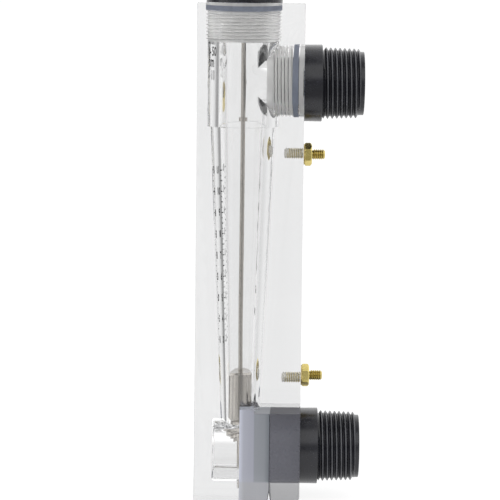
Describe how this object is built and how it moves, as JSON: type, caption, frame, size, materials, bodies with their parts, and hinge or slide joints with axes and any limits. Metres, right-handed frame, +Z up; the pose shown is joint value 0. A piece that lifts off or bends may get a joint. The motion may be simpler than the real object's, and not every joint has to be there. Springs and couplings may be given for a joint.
{
  "type": "rotameter",
  "caption": "Clear block flow meter with a float on a guide rod in a tapered bore, and threaded ports at the rear.",
  "frame": {"origin": "on the axis of the tapered bore, at the underside of the body", "axes": "+Z up along the bore, +X to the rear where the ports are, -X to the scale face, Y across the width"},
  "size_m": [0.0784, 0.044, 0.2475],
  "materials": {
    "clear_acrylic": "clear acrylic, machined and polished",
    "grey_translucent": "blue-grey translucent plastic, satin",
    "black_plastic": "moulded black plastic, semi-matte",
    "seal_rubber": "dark blue-grey sealing ring",
    "stainless": "turned stainless steel",
    "brass": "turned brass"
  },
  "bodies": {
    "meter": {"meter_body": "clear_acrylic", "inlet_block_front": "grey_translucent", "inlet_block_rear": "grey_translucent", "top_plug": "black_plastic", "top_plug_seal": "seal_rubber", "outlet_nipple": "black_plastic", "outlet_seal": "seal_rubber", "inlet_nipple": "black_plastic", "inlet_seal": "seal_rubber", "guide_rod": "stainless", "upper_stop_collar": "stainless", "float_seat_collar": "stainless", "seat_lock_nut": "stainless", "plug_rod_nut": "stainless", "upper_stud": "brass", "upper_stud_washer": "brass", "upper_stud_nut": "brass", "lower_stud": "brass", "lower_stud_washer": "brass", "lower_stud_nut": "brass"},
    "float_body": {"float": "stainless"}
  },
  "joints": [
    {"name": "float_slide", "type": "slide", "parent": "meter", "child": "float_body", "axis": [0, 0, 1], "range_m": [0, 0.118]}
  ]
}
